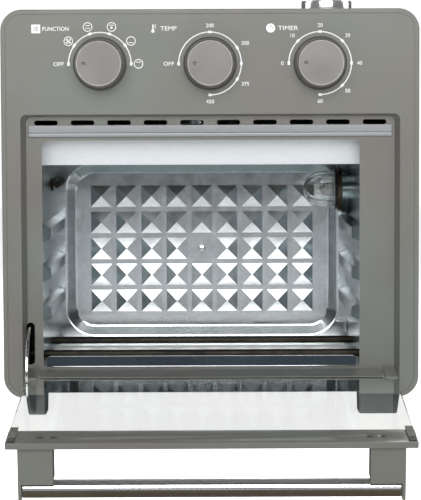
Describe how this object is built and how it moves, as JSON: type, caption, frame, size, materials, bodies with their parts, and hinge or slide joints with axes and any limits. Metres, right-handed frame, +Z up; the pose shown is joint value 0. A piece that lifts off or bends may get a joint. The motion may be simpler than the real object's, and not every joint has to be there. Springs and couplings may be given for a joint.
{
  "type": "toaster oven",
  "caption": "Countertop toaster oven with a drop-down glass door, bar handle, control knobs above the door, convection fan, lamp, heating rods and a sliding crumb tray.",
  "frame": {"origin": "centre of the embossed flat on the underside of the base pan", "axes": "+Z up, +Y into the oven from its door, +X to the right for someone facing the door"},
  "size_m": [0.35, 0.4797, 0.389],
  "materials": {
    "painted_steel": "satin warm-grey powder coat",
    "dark_painted_steel": "dark grey satin paint",
    "foot_rubber": "matte dark grey",
    "seal_strip": "satin light grey",
    "aluminised_steel": "satin aluminised sheet",
    "bright_reflector": "bright satin",
    "heater_sheath": "dark oxidised sheath",
    "tray_enamel": "bright plated sheet",
    "chromed": "polished plate",
    "bronze": "threaded, dull bronze",
    "black_rubber": "matte black",
    "heatproof_plastic": "pale heatproof moulding",
    "lamp_ceramic": "unglazed white",
    "knob_metal": "satin spun grey",
    "lamp_glass": "clear ribbed glass",
    "door_glass": "clear tempered glass"
  },
  "bodies": {
    "body": {"front_panel": "painted_steel", "outer_shell": "painted_steel", "back_cover": "painted_steel", "base_pan": "dark_painted_steel", "foot_front_left": "foot_rubber", "foot_front_right": "foot_rubber", "foot_rear_left": "foot_rubber", "foot_rear_right": "foot_rubber", "door_seal_rail": "seal_strip", "cavity_left_wall": "aluminised_steel", "cavity_right_wall": "aluminised_steel", "cavity_back_wall": "aluminised_steel", "cavity_ceiling": "aluminised_steel", "cavity_floor": "aluminised_steel", "back_wall_screw": "chromed", "upper_baffle": "bright_reflector", "heater_lower_front": "heater_sheath", "heater_lower_rear": "heater_sheath", "heater_upper_front": "heater_sheath", "heater_upper_rear": "heater_sheath", "rear_clip": "chromed", "thermostat_bulb": "heater_sheath", "lamp_clamp_ring": "bronze", "lamp_gasket": "black_rubber", "lamp_glass": "lamp_glass", "lamp_holder": "lamp_ceramic", "lamp_bulb": "lamp_glass", "fan_motor": "aluminised_steel", "fan_guard": "chromed", "function_bezel": "dark_painted_steel", "function_switch": "heatproof_plastic", "temperature_bezel": "dark_painted_steel", "thermostat": "heatproof_plastic", "timer_bezel": "dark_painted_steel", "timer_unit": "heatproof_plastic", "exhaust_cap": "chromed", "cord_gland": "black_rubber", "hinge_pin_left": "chromed", "hinge_pin_right": "chromed", "door_spring": "chromed"},
    "door": {"door_glass": "door_glass", "door_handle_rail": "painted_steel", "door_hinge_rail": "painted_steel", "door_pad_left": "black_rubber", "door_pad_right": "black_rubber", "door_hinge_bracket_left": "dark_painted_steel", "door_hinge_bracket_right": "dark_painted_steel", "door_arm": "chromed", "handle_post_left": "painted_steel", "handle_post_right": "painted_steel", "handle_bar": "chromed"},
    "crumb_tray": {"crumb_tray": "tray_enamel"},
    "function_dial": {"function_knob": "knob_metal", "function_shaft": "chromed"},
    "temperature_dial": {"temperature_knob": "knob_metal", "temperature_shaft": "chromed"},
    "timer_dial": {"timer_knob": "knob_metal", "timer_shaft": "chromed"},
    "fan": {"fan_impeller": "aluminised_steel"}
  },
  "joints": [
    {"name": "door_hinge", "type": "hinge", "parent": "body", "child": "door", "pos_m": [0, -0.1285, 0.0215], "axis": [-1, 0, 0], "range_deg": [0, 97.8]},
    {"name": "crumb_tray_slide", "type": "slide", "parent": "body", "child": "crumb_tray", "axis": [0, 1, 0], "range_m": [-0.18, 0]},
    {"name": "function_turn", "type": "hinge", "parent": "body", "child": "function_dial", "pos_m": [-0.092, -0.1325, 0.2811], "axis": [0, 1, 0], "range_deg": [0, 180]},
    {"name": "temperature_turn", "type": "hinge", "parent": "body", "child": "temperature_dial", "pos_m": [0, -0.1325, 0.2811], "axis": [0, 1, 0], "range_deg": [0, 270]},
    {"name": "timer_turn", "type": "hinge", "parent": "body", "child": "timer_dial", "pos_m": [0.092, -0.1325, 0.2811], "axis": [0, 1, 0], "range_deg": [0, 270]},
    {"name": "fan_spin", "type": "hinge", "parent": "body", "child": "fan", "pos_m": [-0.00815, -0.02115, 0.214], "axis": [0, 0, 1], "continuous": true}
  ]
}
